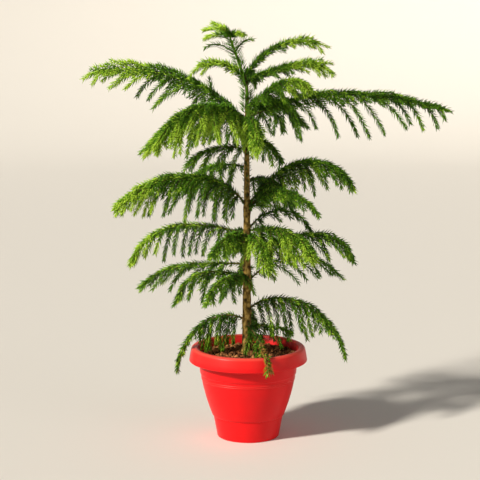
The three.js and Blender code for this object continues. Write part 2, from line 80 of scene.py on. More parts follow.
def arc(centre, radius, start, end, steps):
    """Points of a round edge, as (radius, height), between two angles in degrees."""
    angles = np.radians(np.linspace(start, end, steps + 1))
    return [(centre[0] + radius * math.cos(a), centre[1] + radius * math.sin(a)) for a in angles]


def bowl_curve(shares):
    """Points up the bowl's bulging side, with the raised rings near its top."""
    points = []
    for share in shares:
        weights = ((1 - share) ** 2, 2 * share * (1 - share), share ** 2)
        corners = (BOWL_FOOT, BOWL_BULGE, BOWL_TOP)
        radius = sum(w * c[0] for w, c in zip(weights, corners))
        height = sum(w * c[1] for w, c in zip(weights, corners))
        swell = sum(math.exp(-((height - ring) / RING_WIDTH) ** 2) for ring in BOWL_RINGS)
        points.append((radius + RING_HEIGHT * swell, height))
    return points


def turned(name, profile, segments):
    """A closed round piece about the upright axis, pulled ring by ring along (radius, height) in mm."""
    bpy.ops.object.select_all(action="DESELECT")
    radius, height = profile[0]
    bpy.ops.mesh.primitive_circle_add(vertices=segments, radius=radius * MM, location=(0, 0, height * MM))
    piece = bpy.context.object
    piece.name = name
    piece.data.name = name
    bpy.ops.object.transform_apply(location=True, rotation=True, scale=True)
    bpy.ops.object.mode_set(mode="EDIT")
    bpy.ops.mesh.select_mode(type="EDGE")
    bpy.ops.mesh.select_all(action="SELECT")
    for next_radius, next_height in profile[1:]:
        lift = (0, 0, (next_height - height) * MM)
        bpy.ops.mesh.extrude_edges_move(TRANSFORM_OT_translate={"value": lift})
        widen = next_radius / radius
        bpy.ops.transform.resize(value=(widen, widen, 1), center_override=(0, 0, next_height * MM))
        radius, height = next_radius, next_height
    bpy.ops.mesh.edge_face_add()
    bpy.ops.mesh.select_all(action="DESELECT")
    bpy.ops.mesh.select_non_manifold()
    bpy.ops.mesh.edge_face_add()
    bpy.ops.mesh.select_all(action="SELECT")
    bpy.ops.mesh.normals_make_consistent(inside=False)
    bpy.ops.object.mode_set(mode="OBJECT")
    return piece


def new_material(name):
    """An empty procedural material: its node tree, its shader and its Object coordinates."""
    material = bpy.data.materials.new(name)
    material.use_nodes = True
    tree = material.node_tree
    shader = tree.nodes["Principled BSDF"]
    place = tree.nodes.new("ShaderNodeTexCoord").outputs["Object"]
    return material, tree, shader, place


def noise_field(tree, place, scale, detail, stretch=(1, 1, 1)):
    """Cloudy noise over the Object coordinates, stretched along an axis where it is scaled down."""
    mapping = tree.nodes.new("ShaderNodeMapping")
    mapping.inputs["Scale"].default_value = stretch
    tree.links.new(place, mapping.inputs["Vector"])
    texture = tree.nodes.new("ShaderNodeTexNoise")
    texture.inputs["Scale"].default_value = scale
    texture.inputs["Detail"].default_value = detail
    tree.links.new(mapping.outputs["Vector"], texture.inputs["Vector"])
    return texture.outputs["Fac"]


def ramp(tree, value, stops):
    """A colour ramp over a value, from (position, colour) stops."""
    node = tree.nodes.new("ShaderNodeValToRGB")
    while len(node.color_ramp.elements) < len(stops):
        node.color_ramp.elements.new(0.5)
    for element, (position, colour) in zip(node.color_ramp.elements, stops):
        element.position = position
        element.color = colour
    tree.links.new(value, node.inputs["Fac"])
    return node.outputs["Color"]


def bump(tree, shader, value, strength, distance):
    """Fine relief on the shader's normal from a value."""
    node = tree.nodes.new("ShaderNodeBump")
    node.inputs["Strength"].default_value = strength
    node.inputs["Distance"].default_value = distance
    tree.links.new(value, node.inputs["Height"])
    tree.links.new(node.outputs["Normal"], shader.inputs["Normal"])


def mixed_by_rise(tree, vector, limits, most, first, second):
    """A colour that turns from one to another, up to a share, as a vector's Z rises between two limits."""
    split = tree.nodes.new("ShaderNodeSeparateXYZ")
    tree.links.new(vector, split.inputs["Vector"])
    rise = tree.nodes.new("ShaderNodeMapRange")
    rise.inputs["From Min"].default_value = limits[0]
    rise.inputs["From Max"].default_value = limits[1]
    rise.inputs["To Max"].default_value = most
    tree.links.new(split.outputs["Z"], rise.inputs["Value"])
    mix = tree.nodes.new("ShaderNodeMixRGB")
    mix.inputs["Color2"].default_value = second
    tree.links.new(rise.outputs["Result"], mix.inputs["Fac"])
    tree.links.new(first, mix.inputs["Color1"])
    return mix.outputs["Color"]


def moulded_plastic():
    """Satin red plastic with a fine moulded grain and faint handling marks, and a painted highlight of
    paler red where it faces up.
    """
    material, tree, shader, place = new_material("red_moulded_plastic")
    handling = noise_field(tree, place, HANDLING_SCALE, detail=5)
    red = ramp(tree, handling, [(0.35, POT_RED), (0.75, POT_RED_WORN)])
    # Up-facing surfaces are mixed towards a paler red: a painted highlight that stands in for the sky's
    # reflection.
    facing = tree.nodes.new("ShaderNodeNewGeometry").outputs["Normal"]
    painted_highlight_red = mixed_by_rise(tree, facing, PAINTED_HIGHLIGHT_SLOPES, 1, red, POT_RED_PAINTED_HIGHLIGHT)
    tree.links.new(painted_highlight_red, shader.inputs["Base Color"])
    gloss = ramp(tree, handling, [(0.3, POT_SMOOTH), (0.7, POT_SCUFFED)])
    tree.links.new(gloss, shader.inputs["Roughness"])
    shader.inputs["Specular IOR Level"].default_value = POT_SHINE
    grain = noise_field(tree, place, GRAIN_SCALE, detail=2)
    bump(tree, shader, grain, strength=0.06, distance=GRAIN_DEPTH * MM)
    return material


def finish_piece(piece, slot, *nodes):
    """Fixes a piece to the plant and hides the CAD nodes whose place it takes; the slot is not used."""
    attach(piece, "root")
    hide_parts(*nodes)


pot_profile = FOOT_RING.copy()
pot_profile += arc(**FOOT_EDGE)
pot_profile += FOOT_WALL + FOOT_STEP
pot_profile += bowl_curve(PLAIN_BOWL)
pot_profile += bowl_curve(RINGED_BOWL)
pot_profile += COLLAR + CHANNEL
pot_profile += arc(**RIM_LIP)
pot_profile += RIM_WALL
pot_profile += arc(**RIM_SHOULDER)
pot_profile += arc(**RIM_INSIDE)
pot_profile += POT_INSIDE
pot = turned("red_pot", pot_profile, POT_SEGMENTS)
bpy.ops.object.shade_smooth_by_angle(angle=math.radians(POT_SHARP_EDGE))
pot.data.materials.append(moulded_plastic())
finish_piece(pot, "pot", "pot")

# Potting soil fills the pot to a little under its rim and is heaped round the trunk. It is dark crumbly
# compost, watered and dried into lumps, with drier paler crumbs on top.
SOIL_SEGMENTS = 96
SOIL_TOP = 179
SOIL_EDGE = 174.5
SOIL_RADIUS = 103.2
SOIL_HEAP_RADIUS = 22
SOIL_WALL = [(40, 4.4), (62.6, 4.4), (70.8, 46), (88.6, 95), (97.1, 136), (101.1, 164.5)]
SOIL_RING_STEP = 2.3
SOIL_SMALLEST_RING = 3
CLOD_SIZE = 9
CLOD_HEIGHT = 2.1
GRIT_SIZE = 2.6
GRIT_HEIGHT = 0.5
CRUMBS = dict(count=1500, sizes=(1.2, 3.4), subdivisions=1)
LUMPS = dict(count=260, sizes=(3.2, 5.6), subdivisions=2)
CRUMB_MARGIN = 3
CRUMB_STRETCH = (0.65, 1.25)
CRUMB_ROUGHNESS = (0.72, 1.2)
CRUMB_LIFT = 0.25
SOIL_SEED = 7
SOIL_TINTS = {
    "damp": ((0.036, 0.014, 0.005, 1), (0.088, 0.036, 0.012, 1)),
    "brown": ((0.150, 0.060, 0.020, 1), (0.28, 0.120, 0.043, 1)),
    "dry": ((0.36, 0.150, 0.050, 1), (0.54, 0.255, 0.095, 1)),
}
SOIL_SHARES = (0.34, 0.41, 0.25)
MOTTLE_SCALE = 420
PORE_SCALE = 1600
PORE_DEPTH = 0.4


def ripple(points, size):
    """Smooth noise from -1 to 1 at each point, with swells about as wide as size."""
    return np.array([noise.noise(Vector(point) / size) for point in points])


def soil_height(radius):
    """The even height of the soil at a distance from the middle, in mm."""
    share = np.clip((SOIL_RADIUS - radius) / (SOIL_RADIUS - SOIL_HEAP_RADIUS), 0, 1)
    return SOIL_EDGE + (SOIL_TOP - SOIL_EDGE) * share


def crumbly_soil(name, dark, light):
    """Matt compost, mottled at the scale of its crumbs."""
    material, tree, shader, place = new_material(name)
    mottle = noise_field(tree, place, MOTTLE_SCALE, detail=6)
    tree.links.new(ramp(tree, mottle, [(0.3, dark), (0.72, light)]), shader.inputs["Base Color"])
    shader.inputs["Roughness"].default_value = 0.95
    shader.inputs["Specular IOR Level"].default_value = 0.15
    pores = noise_field(tree, place, PORE_SCALE, detail=5)
    bump(tree, shader, pores, strength=0.6, distance=PORE_DEPTH * MM)
    return material


def vertices_of(piece):
    """The places of a piece's vertices."""
    flat = np.empty(len(piece.data.vertices) * 3)
    piece.data.vertices.foreach_get("co", flat)
    return flat.reshape(-1, 3)


def move_vertices(piece, places):
    """Puts a piece's vertices at new places."""
    piece.data.vertices.foreach_set("co", places.astype(np.float32).ravel())
    piece.data.update()


def joined_mesh(name, points, faces, material):
    """One smooth-shaded piece from arrays of points and faces."""
    mesh = bpy.data.meshes.new(name)
    mesh.from_pydata(points, [], faces)
    mesh.polygons.foreach_set("use_smooth", np.ones(len(faces), dtype=bool))
    mesh.materials.append(material)
    piece = bpy.data.objects.new(name, mesh)
    bpy.context.scene.collection.objects.link(piece)
    return piece


def unit_lump(subdivisions):
    """Points and faces of a ball of radius 1, taken from a primitive that is then removed."""
    bpy.ops.object.select_all(action="DESELECT")
    bpy.ops.mesh.primitive_ico_sphere_add(subdivisions=subdivisions, radius=1)
    ball = bpy.context.object
    points = vertices_of(ball)
    faces = np.array([face.vertices[:] for face in ball.data.polygons])
    bpy.data.objects.remove(ball)
    return points, faces


def scattered_lumps(draw, count, sizes, subdivisions):
    """Rough crumbs lying on the soil: their points and faces, a group for each crumb."""
    ball, faces = unit_lump(subdivisions)
    radius = (SOIL_RADIUS - CRUMB_MARGIN) * np.sqrt(draw.random(count))
    angle = draw.uniform(0, 2 * math.pi, count)
    size = draw.uniform(*sizes, count)
    stretch = draw.uniform(*CRUMB_STRETCH, (count, 1, 3))
    rough = draw.uniform(*CRUMB_ROUGHNESS, (count, len(ball), 1))
    turn = np.linalg.qr(draw.normal(size=(count, 3, 3)))[0]
    turn *= np.sign(np.linalg.det(turn))[:, None, None]
    bodies = np.einsum("cij,cpj->cpi", turn, ball * stretch * rough) * size[:, None, None]
    middle = np.stack([radius * np.cos(angle), radius * np.sin(angle), soil_height(radius)], axis=1)
    middle[:, 2] += CLOD_HEIGHT * ripple(middle, CLOD_SIZE) + CRUMB_LIFT * size
    inside = np.hypot(middle[:, 0], middle[:, 1]) + size < SOIL_RADIUS
    return (bodies + middle[:, None, :])[inside], faces


soil_rings = np.arange(SOIL_RADIUS - 1, SOIL_SMALLEST_RING, -SOIL_RING_STEP)
soil_profile = SOIL_WALL + [(SOIL_RADIUS, SOIL_EDGE - 1)]
soil_profile += [(radius, float(soil_height(radius))) for radius in soil_rings]
soil = turned("soil_bed", soil_profile, SOIL_SEGMENTS)
soil_points = vertices_of(soil) / MM
soil_surface = soil_points[:, 2] > SOIL_EDGE - 2
soil_points[soil_surface, 2] += CLOD_HEIGHT * ripple(soil_points[soil_surface], CLOD_SIZE)
soil_points[soil_surface, 2] += GRIT_HEIGHT * ripple(soil_points[soil_surface], GRIT_SIZE)
move_vertices(soil, soil_points * MM)
bpy.ops.object.shade_smooth()
soil.data.materials.append(crumbly_soil("damp_compost", *SOIL_TINTS["damp"]))
finish_piece(soil, "soil", "soil")

soil_draw = np.random.default_rng(SOIL_SEED)
soil_groups = [scattered_lumps(soil_draw, **CRUMBS), scattered_lumps(soil_draw, **LUMPS)]
soil_deals = [soil_draw.choice(len(SOIL_TINTS), len(lumps), p=SOIL_SHARES) for lumps, _ in soil_groups]
for tint_index, (tint, colours) in enumerate(SOIL_TINTS.items()):
    crumb_points = []
    crumb_faces = []
    start = 0
    for (lumps, faces), deal in zip(soil_groups, soil_deals):
        chosen = lumps[deal == tint_index]
        offsets = start + np.arange(len(chosen)) * lumps.shape[1]
        crumb_points.append(chosen.reshape(-1, 3))
        crumb_faces.append((faces[None] + offsets[:, None, None]).reshape(-1, 3))
        start += chosen.shape[0] * chosen.shape[1]
    crumbs = joined_mesh(
        f"soil_crumbs_{tint}",
        np.concatenate(crumb_points) * MM,
        np.concatenate(crumb_faces),
        crumbly_soil(f"{tint}_crumbs", *colours),
    )
    finish_piece(crumbs, "soil", "soil")

# The trunk is one tapering woody stem, flared at the soil and leaning to the left at its leader. Its bark
# is thin and rough, with pads where needles have dropped and a swelling under each frond. The fronds
# stand on it in tiers, each given by its height, heading, length, first and last tilt and bend.
TRUNK_SIDES = 56
TRUNK_RINGS = 620
TRUNK_FOOT = 173
TRUNK_TIP = 848
TRUNK_OFFSET = -3
LEAN_START = 736
LEAN = -37
LEAN_POWER = 1.15
TRUNK_RADIUS = 9.4
TRUNK_TAPER_POWER = 1.35
TIP_RADIUS = 1.6
FLARE = 4.6
FLARE_HEIGHT = 16
FRONDS = {
    "tier1_right": dict(
        height=268, heading=352, length=286, rise=60, droop=-80, bend=0.67, bare=0.14,
        twig=84, spread=(36, 24), hang=(-89, -74), openness=1.3, last=0.68, growth="light", fullness=1.2,
        skirt=0.45, mantle=(-76, -62),
    ),
    "tier1_left": dict(
        height=248, heading=188, length=221, rise=49, droop=-87, bend=0.63, bare=0.14,
        twig=74, spread=(36, 18), hang=(-89, -84), openness=1.3, last=0.5, growth="light",
        mantle=(-76, -66),
    ),
    "tier1_front": dict(
        height=243, heading=287, length=172, rise=-10, droop=-71, bend=2.7,
        twig=52, openness=1.2, growth="scorched", fullness=0.3,
    ),
    "tier1_front_right": dict(
        height=239, heading=334, length=105, rise=4, droop=-37, bend=3.4,
        twig=50, fullness=0.5,
    ),
    "tier1_back": dict(
        height=250, heading=85, length=175, rise=18, droop=-50, bend=1,
        twig=54, growth="scorched", fullness=0.5,
    ),
    "tier2_left": dict(
        height=371, heading=178, length=238, rise=1, droop=-52, bend=2.8, bare=0.2,
        twig=80, spread=(34, 20), hang=(-44, -46), drop=0.5, openness=1.2, growth="light", fullness=0.8,
        mantle=(-40, -34),
    ),
    "tier2_front_left": dict(
        height=348, heading=222, length=217, rise=12, droop=-86, bend=3.2, bare=0.16,
        twig=66, hang=(-66, -66), drop=0.5, openness=1.2, growth="light", fullness=0.6, skirt=0.45,
    ),
    "tier2_front": dict(
        height=346, heading=247, length=220, rise=7, droop=-58, bend=3.4,
        twig=60, hang=(-62, -62), drop=0.5, openness=1.2, growth="light", fullness=0.8, skirt=0.42,
    ),
    "tier2_right": dict(
        height=330, heading=5, length=227, rise=48, droop=-55, bend=1.3, bare=0.2,
        twig=78, spread=(32, 20), hang=(-62, -44), drop=0.5, openness=1.6, fullness=0.4,
        mantle=(-44, -36),
    ),
    "tier2_back": dict(
        height=343, heading=92, length=245, rise=18, droop=-46, bend=1, bare=0.16,
        twig=54, fullness=0.8,
    ),
    "tier3_left": dict(
        height=435, heading=183, length=282, rise=14, droop=-80, bend=2.2, bare=0.16,
        twig=72, spread=(34, 20), hang=(-89, -70), openness=1.1, growth="outer", fullness=1.3,
        mantle=(-72, -48),
    ),
    "tier3_front_right": dict(
        height=441, heading=318, length=193, rise=15, droop=-44, bend=1.4, bare=0.16,
        twig=92, openness=0.9, growth="fringe", fullness=1.8, skirt=0.7,
    ),
    "tier3_front": dict(
        height=425, heading=290, length=152, rise=24, droop=-64, bend=1,
        twig=62, spread=(54, 30), openness=0.9, growth="fringe", fullness=1.9, skirt=0.7,
    ),
    "tier3_front_left": dict(
        height=428, heading=238, length=145, rise=24, droop=-42, bend=1,
        twig=58, spread=(66, 36), openness=0.8, growth="light", fullness=1.6, skirt=0.7,
    ),
    "tier3_right": dict(
        height=403, heading=3, length=253, rise=16, droop=-86, bend=3.2, bare=0.2,
        twig=76, spread=(30, 20), hang=(-62, -64), drop=0.6, openness=1.1, growth="light", fullness=1.2,
        skirt=0.45,
    ),
    "tier3_upper_right": dict(
        height=438, heading=12, length=174, rise=59, droop=-73, bend=1.2, bare=0.2,
        twig=44, hang=(-40, -50), drop=0.5, openness=2.0, fullness=0.4,
    ),
    "tier3_back": dict(
        height=420, heading=98, length=255, rise=16, droop=-46, bend=1, bare=0.16,
        twig=64, fullness=0.8,
    ),
    "tier4_left": dict(
        height=488, heading=184, length=322, rise=75, droop=-45, bend=0.62, bare=0.14,
        twig=92, spread=(36, 22), hang=(-89, -58), openness=0.75, growth="outer", fullness=2.2,
        skirt=0.66, mantle=(-84, -46), ruff=(34, -14),
    ),
    "tier4_right": dict(
        height=492, heading=355, length=282, rise=54, droop=-73, bend=1.8, bare=0.14,
        twig=72, spread=(30, 20), hang=(-80, -76), openness=0.9, growth="light", fullness=2.1,
        skirt=0.75, mantle=(-76, -56),
    ),
    "tier4_front_right": dict(
        height=479, heading=322, length=218, rise=67, droop=-51, bend=0.83,
        twig=60, spread=(22, 14), hang=(-20, -50), drop=0.5, openness=1.6, growth="light", fullness=1.2,
        skirt=0.5, mantle=(-40, -40),
    ),
    "tier4_back_left": dict(
        height=574, heading=130, length=235, rise=6, droop=-42, bend=1.2, bare=0.16,
        twig=70, fullness=0.8,
    ),
    "tier4_back_right": dict(
        height=546, heading=62, length=245, rise=6, droop=-44, bend=1, bare=0.16,
        twig=70, fullness=0.8,
    ),
    "tier5_right": dict(
        height=674, heading=353, length=432, rise=46, droop=-17, bend=0.46, bare=0.1,
        twig=112, spread=(28, 18), hang=(-80, -64), drop=0.45, openness=2.0, fullness=1.8,
        mantle=(-44, -30), ruff=(30, -10),
    ),
    "tier5_left": dict(
        height=666, heading=173, length=366, rise=47, droop=-15, bend=1.05, bare=0.1,
        twig=112, spread=(32, 20), hang=(-60, -44), drop=0.45, openness=1.4, growth="outer",
        fullness=2.0, mantle=(-50, -32), ruff=(58, 14), shoot=(0.25, 34),
    ),
    "tier5_front_left": dict(
        height=675, heading=222, length=276, rise=27, droop=-60, bend=1.35, bare=0.12,
        twig=124, spread=(54, 30), hang=(-54, -52), drop=0.5, openness=0.6, growth="fringe",
        fullness=2.2, skirt=0.8, mantle=(-60, -48),
    ),
    "tier5_front": dict(
        height=660, heading=279, length=172, rise=36, droop=-66, bend=1,
        twig=70, spread=(30, 20), openness=0.9, growth="fringe", fullness=0.9, skirt=0.55,
    ),
    "tier5_front_right": dict(
        height=634, heading=306, length=130, rise=8, droop=-48, bend=1.2,
        twig=54, drop=0.5,
    ),
    "tier5_lower_left": dict(
        height=612, heading=196, length=140, rise=14, droop=-50, bend=1.4,
        twig=54, drop=0.5,
    ),
    "tier5_back_right": dict(
        height=680, heading=60, length=270, rise=30, droop=-46, bend=1, bare=0.14,
        twig=84, fullness=0.9,
    ),
    "tier5_back_left": dict(
        height=664, heading=120, length=255, rise=26, droop=-48, bend=1,
        twig=84, fullness=0.9,
    ),
    "tier6_right": dict(
        height=757, heading=5, length=206, rise=59, droop=-28, bend=1.25,
        growth="outer", fullness=1.3,
    ),
    "tier6_lower_right": dict(
        height=754, heading=345, length=195, rise=18, droop=-46, bend=3.9,
        twig=62, growth="outer", fullness=2.3,
    ),
    "tier6_front_right": dict(
        height=698, heading=318, length=192, rise=34, droop=-50, bend=3,
        twig=60, spread=(40, 26), hang=(-36, -66), drop=0.4, growth="outer", fullness=1.8, skirt=1.0,
        mantle=(-40, -40),
    ),
    "tier6_left": dict(
        height=763, heading=188, length=107, rise=37, droop=-43, bend=1.75,
        growth="young", fullness=2.2,
    ),
    "tier6_back": dict(height=744, heading=84, length=160, rise=34, droop=-36, bend=1),
    "tier7_left": dict(height=809, heading=186, length=70, rise=36, droop=-44, bend=2.1),
    "tier7_right": dict(height=813, heading=5, length=48, rise=58, droop=-21, bend=2.2),
}
PAD_RISE = 2.1
PAD_TURN = 137.5
PAD_TURN_PLAY = 0.25
PAD_WIDTH = 2.0
PAD_HEIGHT = 2.2
PAD_RELIEF = 0.95
PAD_RELIEF_PLAY = (0.1, 1.3)
PADLESS_TIP = 10
COLLAR_RELIEF = 1.5
COLLAR_WIDTH = 5
COLLAR_HEIGHT = 7
COLLAR_FROND = 160
FISSURE_RELIEF = 0.45
FISSURE_WIDTH = 2.4
FISSURE_STRETCH = (1, 1, 0.22)
CRACK_WIDTH = 1.1
CRACK_STRETCH = (1, 1, 0.4)
FISSURED_RADIUS = 8
BUTTRESSES = 3
BUTTRESS_TURN = 0.7
BUTTRESS_RELIEF = 1.1
BUTTRESS_HEIGHT = 14
TRUNK_SHARP_EDGE = 50
TRUNK_SEED = 19
BARK_DARK = (0.036, 0.024, 0.008, 1)
BARK_BROWN = (0.18, 0.110, 0.024, 1)
BARK_PALE = (0.46, 0.30, 0.08, 1)
BARK_GREEN = (0.032, 0.040, 0.010, 1)
MOST_GREEN = 0.8
TRUNK_GREENS = (0.56, 0.76)
STREAK_SCALE = 170
STREAK_STRETCH = (1, 1, 0.62)
FLAKE_SCALE = 700
FLAKE_STRETCH = (1, 1, 0.45)
FLAKE_DEPTH = 0.5


def trunk_centre(height):
    """The point on the trunk's axis at a height, in mm."""
    lean = np.clip((height - LEAN_START) / (TRUNK_TIP - LEAN_START), 0, 1) ** LEAN_POWER
    level = np.zeros_like(lean)
    return np.stack([TRUNK_OFFSET + LEAN * lean, level, height + level], axis=-1)


def trunk_radius(height):
    """The trunk's radius at a height, in mm, with its root flare."""
    share = np.clip((height - SOIL_TOP) / (TRUNK_TIP - SOIL_TOP), 0, 1)
    taper = TRUNK_RADIUS + (TIP_RADIUS - TRUNK_RADIUS) * share ** TRUNK_TAPER_POWER
    return taper + FLARE * np.exp((SOIL_TOP - np.maximum(height, SOIL_TOP)) / FLARE_HEIGHT)


def lump_relief(angle, height, lump_angles, lump_heights, reliefs, width, depth):
    """The sum of round lumps on the trunk at each point, given by their angles and heights."""
    relief = np.zeros_like(height)
    for lump_angle, lump_height, lift in zip(lump_angles, lump_heights, reliefs):
        close = np.abs(height - lump_height) < 3 * depth
        turn = (angle[close] - lump_angle + math.pi) % (2 * math.pi) - math.pi
        across = turn * trunk_radius(lump_height) / width
        along = (height[close] - lump_height) / depth
        relief[close] += lift * np.exp(-across ** 2 - along ** 2)
    return relief


def woody_bark(name, dark, brown, pale, green_heights):
    """Dry bark with upright streaks, greener towards the given heights in metres."""
    material, tree, shader, place = new_material(name)
    streaks = noise_field(tree, place, STREAK_SCALE, detail=8, stretch=STREAK_STRETCH)
    bark = ramp(tree, streaks, [(0.36, dark), (0.5, brown), (0.66, pale)])
    greened = mixed_by_rise(tree, place, green_heights, MOST_GREEN, bark, BARK_GREEN)
    tree.links.new(greened, shader.inputs["Base Color"])
    shader.inputs["Roughness"].default_value = 0.82
    shader.inputs["Specular IOR Level"].default_value = 0.12
    flakes = noise_field(tree, place, FLAKE_SCALE, detail=6, stretch=FLAKE_STRETCH)
    bump(tree, shader, flakes, strength=0.55, distance=FLAKE_DEPTH * MM)
    return material


bpy.ops.object.select_all(action="DESELECT")
bpy.ops.mesh.primitive_cylinder_add(vertices=TRUNK_SIDES, radius=1, depth=1)
trunk = bpy.context.object
trunk.name = "trunk_bark"
bpy.ops.object.mode_set(mode="EDIT")
bpy.ops.mesh.select_mode(type="EDGE")
bpy.ops.mesh.select_all(action="DESELECT")
trunk_edit = bmesh.from_edit_mesh(trunk.data)
for edge in trunk_edit.edges:
    edge.select = abs(edge.verts[0].co.z - edge.verts[1].co.z) > 0.5
bmesh.update_edit_mesh(trunk.data)
bpy.ops.mesh.subdivide(number_cuts=TRUNK_RINGS - 1)
bpy.ops.object.mode_set(mode="OBJECT")
trunk_unit = vertices_of(trunk)
trunk_angle = np.arctan2(trunk_unit[:, 1], trunk_unit[:, 0])
trunk_height = TRUNK_FOOT + (TRUNK_TIP - TRUNK_FOOT) * (trunk_unit[:, 2] + 0.5)
trunk_draw = np.random.default_rng(TRUNK_SEED)
pad_heights = np.arange(SOIL_TOP, TRUNK_TIP - PADLESS_TIP, PAD_RISE)
pad_angles = np.radians(PAD_TURN) * np.arange(len(pad_heights))
pad_angles += trunk_draw.normal(0, PAD_TURN_PLAY, len(pad_heights))
pad_reliefs = PAD_RELIEF * trunk_draw.uniform(*PAD_RELIEF_PLAY, len(pad_heights))
trunk_relief = lump_relief(
    trunk_angle, trunk_height, pad_angles, pad_heights, pad_reliefs, PAD_WIDTH, PAD_HEIGHT
)
trunk_relief += lump_relief(
    trunk_angle,
    trunk_height,
    [math.radians(frond["heading"]) for frond in FRONDS.values()],
    [frond["height"] for frond in FRONDS.values()],
    [min(COLLAR_RELIEF, frond["length"] / COLLAR_FROND) for frond in FRONDS.values()],
    COLLAR_WIDTH,
    COLLAR_HEIGHT,
)
trunk_girth = trunk_radius(trunk_height)
trunk_around = np.stack([np.cos(trunk_angle), np.sin(trunk_angle), np.zeros_like(trunk_angle)], axis=1)
trunk_places = trunk_centre(trunk_height) + trunk_around * trunk_girth[:, None]
fissures = ripple(trunk_places * FISSURE_STRETCH, FISSURE_WIDTH)
fissures += 0.5 * ripple(trunk_places * CRACK_STRETCH, CRACK_WIDTH)
buttress = np.cos(BUTTRESSES * trunk_angle + BUTTRESS_TURN) * BUTTRESS_RELIEF
buttress *= np.exp((SOIL_TOP - trunk_height) / BUTTRESS_HEIGHT)
trunk_relief += FISSURE_RELIEF * fissures * np.clip(trunk_girth / FISSURED_RADIUS, 0.25, 1) + buttress
trunk_on_side = np.hypot(trunk_unit[:, 0], trunk_unit[:, 1]) > 0.5
trunk_places += trunk_around * (trunk_relief * trunk_on_side)[:, None]
move_vertices(trunk, trunk_places * MM)
bpy.ops.object.shade_smooth_by_angle(angle=math.radians(TRUNK_SHARP_EDGE))
trunk.data.materials.append(woody_bark("trunk_bark", BARK_DARK, BARK_BROWN, BARK_PALE, TRUNK_GREENS))
finish_piece(trunk, "bark", "trunk")

# Each larger frond stands on a bough, an open tapering limb that leaves the trunk at a collar and bends
# over as its load grows. Its skin is brown, young and a little green, with small ring-like scars.
LIMB_STEPS = 24
BOUGH_RADIUS_SHARE = 0.0095
BOUGH_RADII = (1.9, 3.7)
STEM_TIP_RADIUS = 0.7
LIMB_TAPER_POWER = 0.8
BOUGH_SIDES = 10
BOUGH_STEP = 2.0
SCAR_SPACING = 5.5
SCAR_RELIEF = 0.14
SCAR_SHARPNESS = 6
KNOT_SIZE = 3.0
KNOT_RELIEF = 0.18
BOUGH_GREENS = (0.35, 1.1)
BOUGH_DARK = (0.040, 0.026, 0.010, 1)
BOUGH_BROWN = (0.125, 0.088, 0.030, 1)
BOUGH_PALE = (0.22, 0.17, 0.065, 1)


def limb_path(origin, heading, rise, droop, bend, length, steps, sway=0.0):
    """The centre line of a limb that leaves at one tilt and bends over to another, in degrees."""
    share = (np.arange(steps) + 0.5) / steps
    tilt = np.radians(rise + (droop - rise) * share ** bend)
    turn = np.radians(heading + sway * share)
    strides = np.stack([np.cos(turn) * np.cos(tilt), np.sin(turn) * np.cos(tilt), np.sin(tilt)], axis=1)
    return np.vstack([origin, origin + np.cumsum(strides, axis=0) * (length / steps)])


def along_path(path, shares):
    """Points and unit directions at shares of a path's length."""
    place = np.clip(np.asarray(shares), 0, 1) * (len(path) - 1)
    step = np.minimum(place.astype(int), len(path) - 2)
    stride = path[step + 1] - path[step]
    points = path[step] + stride * (place - step)[:, None]
    return points, stride / np.linalg.norm(stride, axis=1, keepdims=True)


def side_vectors(directions):
    """Two unit vectors square to each direction: one level, one over it."""
    level = np.cross(directions, (0.0, 0.0, 1.0))
    level /= np.linalg.norm(level, axis=1, keepdims=True)
    return level, np.cross(level, directions)


def tube(points, directions, radii, sides):
    """Points and triangles of a closed tube along a line; radii is one row of sides for each point."""
    level, over = side_vectors(directions)
    angles = np.linspace(0, 2 * math.pi, sides, endpoint=False)
    around = np.cos(angles)[None, :, None] * level[:, None] + np.sin(angles)[None, :, None] * over[:, None]
    rings = points[:, None] + around * np.broadcast_to(radii, (len(points), sides))[:, :, None]
    first = np.arange(len(points) - 1)[:, None] * sides
    here = np.arange(sides)[None]
    following = (here + 1) % sides
    walls = np.stack([
        np.stack([first + here, first + following, first + sides + following], axis=-1),
        np.stack([first + here, first + sides + following, first + sides + here], axis=-1),
    ]).reshape(-1, 3)
    fan = np.stack([np.zeros(sides - 2, int), np.arange(1, sides - 1), np.arange(2, sides)], axis=1)
    last = (len(points) - 1) * sides
    return rings.reshape(-1, 3), np.concatenate([walls, fan[:, ::-1], fan + last])


def joined(parts):
    """Tubes or other (points, faces) parts as one set of points and faces."""
    starts = np.cumsum([0] + [len(points) for points, _ in parts[:-1]])
    faces = [part_faces + start for (_, part_faces), start in zip(parts, starts)]
    return np.concatenate([points for points, _ in parts]), np.concatenate(faces)


def frond_path(frond):
    """The centre line of a frond from the trunk's axis to its tip, in mm."""
    origin = trunk_centre(float(frond["height"]))
    shape = (frond["heading"], frond["rise"], frond["droop"], frond["bend"], frond["length"])
    return limb_path(origin, *shape, LIMB_STEPS)


def limb_radius(frond, shares):
    """The radius of a frond's stem at shares of its length, in mm."""
    root = np.clip(frond["length"] * BOUGH_RADIUS_SHARE, *BOUGH_RADII)
    return root + (STEM_TIP_RADIUS - root) * np.asarray(shares) ** LIMB_TAPER_POWER


def limb_tube(frond, start, end):
    """The tube of a frond's limb between two shares of its length, with scars in rings."""
    shares = np.linspace(start, end, max(4, round(frond["length"] * (end - start) / BOUGH_STEP)))
    points, directions = along_path(frond_path(frond), shares)
    scars = SCAR_RELIEF * np.cos(2 * math.pi * shares * frond["length"] / SCAR_SPACING) ** SCAR_SHARPNESS
    knots = KNOT_RELIEF * ripple(points, KNOT_SIZE)
    radii = limb_radius(frond, shares) * (1 + scars + knots)
    return tube(points, directions, radii[:, None], BOUGH_SIDES)


